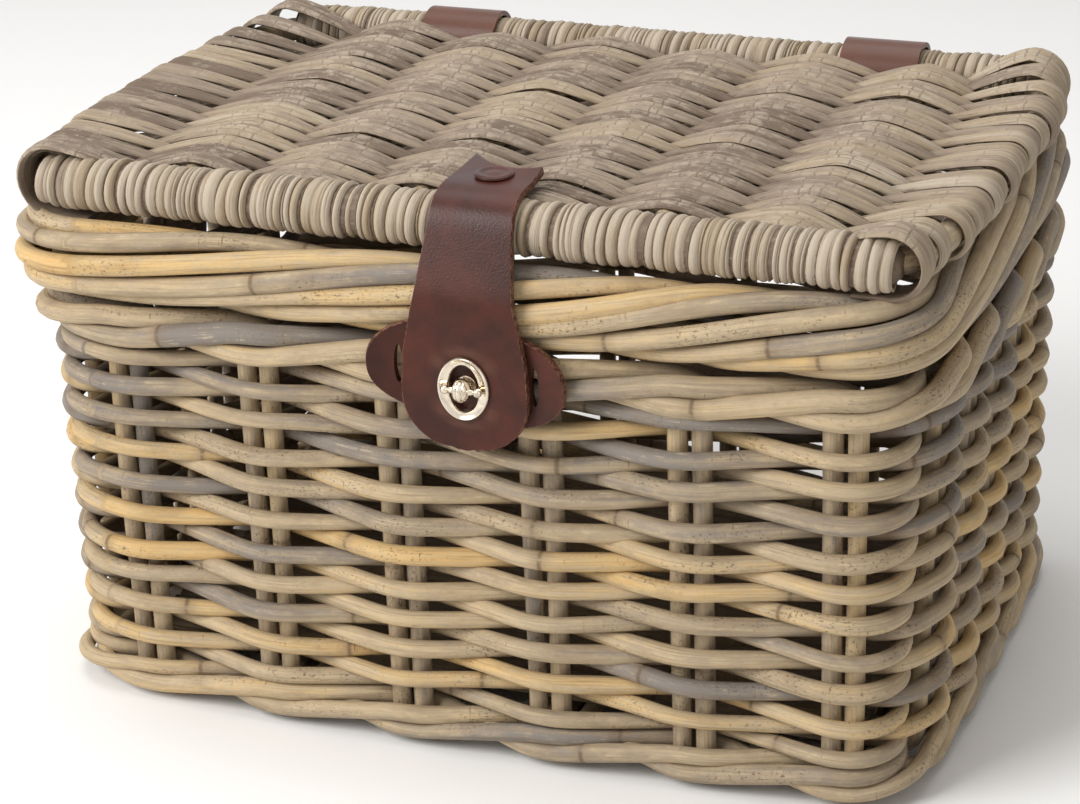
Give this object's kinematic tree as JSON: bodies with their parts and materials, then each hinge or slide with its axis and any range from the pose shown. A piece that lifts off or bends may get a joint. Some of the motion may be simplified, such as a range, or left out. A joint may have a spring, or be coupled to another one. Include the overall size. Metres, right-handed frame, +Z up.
{
  "type": "bicycle basket",
  "caption": "Lidded rattan basket for a bicycle: woven walls on doubled stakes, twisted rim, woven lid on leather hinge loops, leather strap with a turn lock.",
  "frame": {"origin": "on the floor, below the middle of the overall outline", "axes": "+X to the basket's right as seen from the front, +Y to the back, +Z up; the lock is at -Y"},
  "size_m": [0.4044, 0.3044, 0.2491],
  "materials": {
    "weaver_cane": "matte weathered rattan",
    "stake_cane": "matte weathered rattan",
    "wale_cane": "matte grey rattan",
    "border_cane": "matte honey rattan",
    "lid_cane": "matte split rattan",
    "leather": "smooth dark brown leather with worn edges",
    "nickel": "polished nickel plating",
    "rivet": "brown painted rivet"
  },
  "bodies": {
    "basket": {"weaver_row_01": "weaver_cane", "weaver_row_02": "weaver_cane", "weaver_row_03": "weaver_cane", "weaver_row_04": "weaver_cane", "weaver_row_05": "weaver_cane", "weaver_row_06": "weaver_cane", "weaver_row_07": "weaver_cane", "weaver_row_08": "weaver_cane", "weaver_row_09": "weaver_cane", "weaver_row_10": "weaver_cane", "weaver_row_11": "weaver_cane", "weaver_row_12": "weaver_cane", "weaver_row_13": "weaver_cane", "weaver_row_14": "weaver_cane", "weaver_row_15": "weaver_cane", "weaver_row_16": "weaver_cane", "weaver_row_17": "weaver_cane", "weaver_row_18": "weaver_cane", "weaver_row_19": "weaver_cane", "wale": "wale_cane", "foot_cane_01": "weaver_cane", "foot_cane_02": "weaver_cane", "foot_cane_03": "weaver_cane", "border_cane_01": "border_cane", "border_cane_02": "border_cane", "border_cane_03": "border_cane", "border_cane_04": "border_cane", "stake_hoop_front_back_01": "stake_cane", "stake_hoop_front_back_02": "stake_cane", "stake_hoop_front_back_03": "stake_cane", "stake_hoop_front_back_04": "stake_cane", "stake_hoop_front_back_05": "stake_cane", "stake_hoop_front_back_06": "stake_cane", "stake_hoop_left_right_01": "stake_cane", "stake_hoop_left_right_02": "stake_cane", "stake_hoop_left_right_03": "stake_cane", "stake_hoop_left_right_04": "stake_cane", "stake_hoop_left_right_05": "stake_cane", "base_mat": "weaver_cane", "hinge_loop_left": "leather", "hinge_loop_right": "leather", "lock_patch": "leather", "lock_base": "nickel"},
    "lid": {"lid_front_rail": "lid_cane", "lid_back_rail": "lid_cane", "lid_left_rail": "lid_cane", "lid_right_rail": "lid_cane", "lid_weave": "lid_cane", "lid_rib_01": "stake_cane", "lid_rib_02": "stake_cane", "lid_rib_03": "stake_cane", "lid_rib_04": "stake_cane", "lid_rib_05": "stake_cane", "lid_rib_06": "stake_cane", "strap_anchor": "leather", "strap_rivet": "rivet"},
    "strap": {"strap_flap": "leather", "eyelet": "nickel"},
    "knob": {"turn_knob": "nickel"}
  },
  "joints": [
    {"name": "lid_open", "type": "hinge", "parent": "basket", "child": "lid", "pos_m": [0.008, 0.13093, 0.231], "axis": [-1, 0, 0], "range_deg": [0, 105]},
    {"name": "strap_swing", "type": "hinge", "parent": "lid", "child": "strap", "pos_m": [0.015, -0.13008, 0.23589], "axis": [-1, 0, 0], "range_deg": [0, 100]},
    {"name": "knob_turn", "type": "hinge", "parent": "basket", "child": "knob", "pos_m": [0.015, -0.1465, 0.1715], "axis": [0, -1, 0], "range_deg": [0, 90]}
  ]
}
